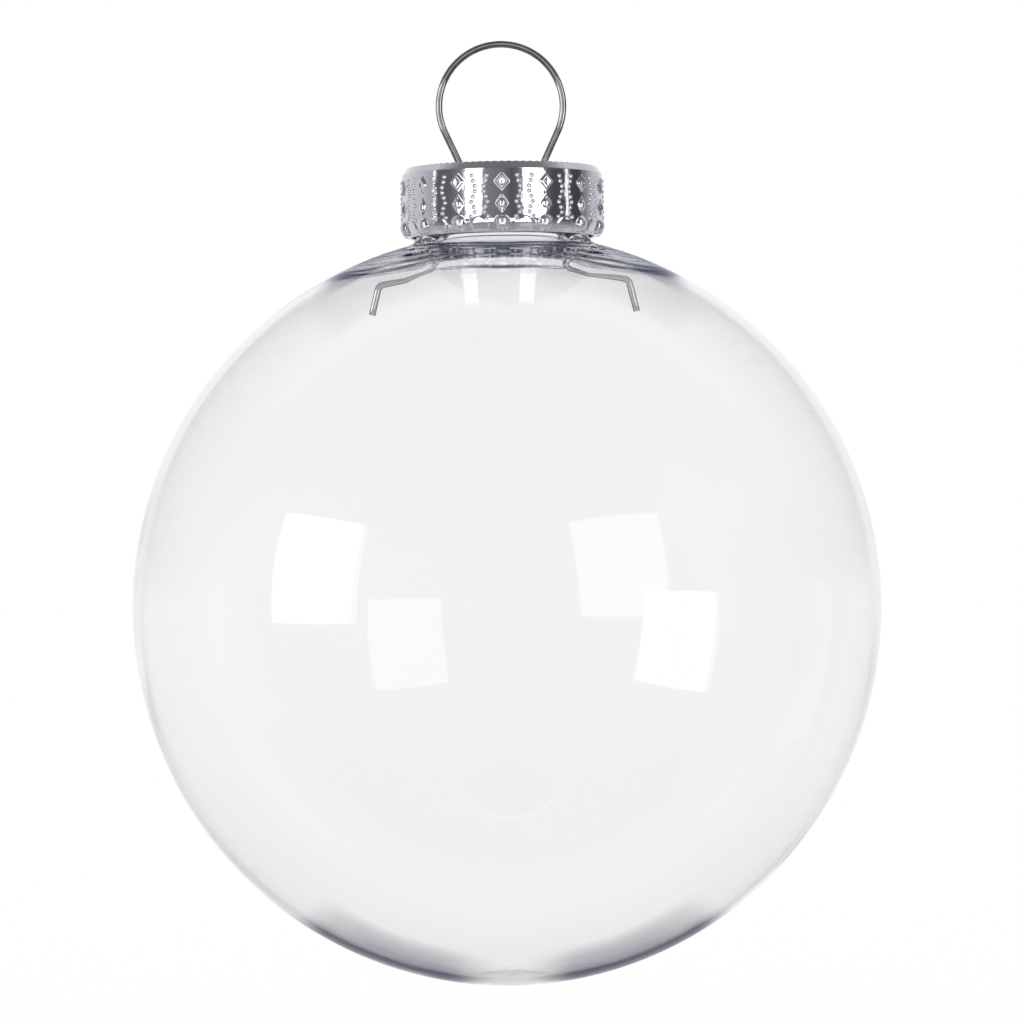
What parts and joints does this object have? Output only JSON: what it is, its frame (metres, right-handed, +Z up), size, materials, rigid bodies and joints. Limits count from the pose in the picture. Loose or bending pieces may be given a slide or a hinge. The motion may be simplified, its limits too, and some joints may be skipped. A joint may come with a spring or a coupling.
{
  "type": "glass ball ornament",
  "caption": "Clear hollow glass ball ornament with a short neck, an embossed silver crown cap and a spring-wire hanging loop.",
  "frame": {"origin": "inside top of the hanging loop, where the hook or thread bears", "axes": "+Z up along the ball's axis; the hanging loop lies in the XZ plane, so +Y is through the loop"},
  "size_m": [0.0804, 0.0804, 0.101],
  "materials": {
    "clear_glass": "clear blown soda-lime glass",
    "silver_cap": "bright silver-plated stamped sheet",
    "spring_wire": "bright drawn spring wire"
  },
  "bodies": {
    "hanger": {"wire_hanger": "spring_wire"},
    "cap": {"crown_cap": "silver_cap"},
    "globe": {"glass_globe": "clear_glass"}
  },
  "joints": [
    {"name": "cap_rock", "type": "hinge", "parent": "hanger", "child": "cap", "pos_m": [0, 0, -0.0132], "axis": [1, 0, 0], "range_deg": [-12, 12]},
    {"name": "globe_pull_off", "type": "slide", "parent": "cap", "child": "globe", "axis": [0, 0, -1], "range_m": [0, 0.03], "deforming": ["wire_hanger"]}
  ]
}
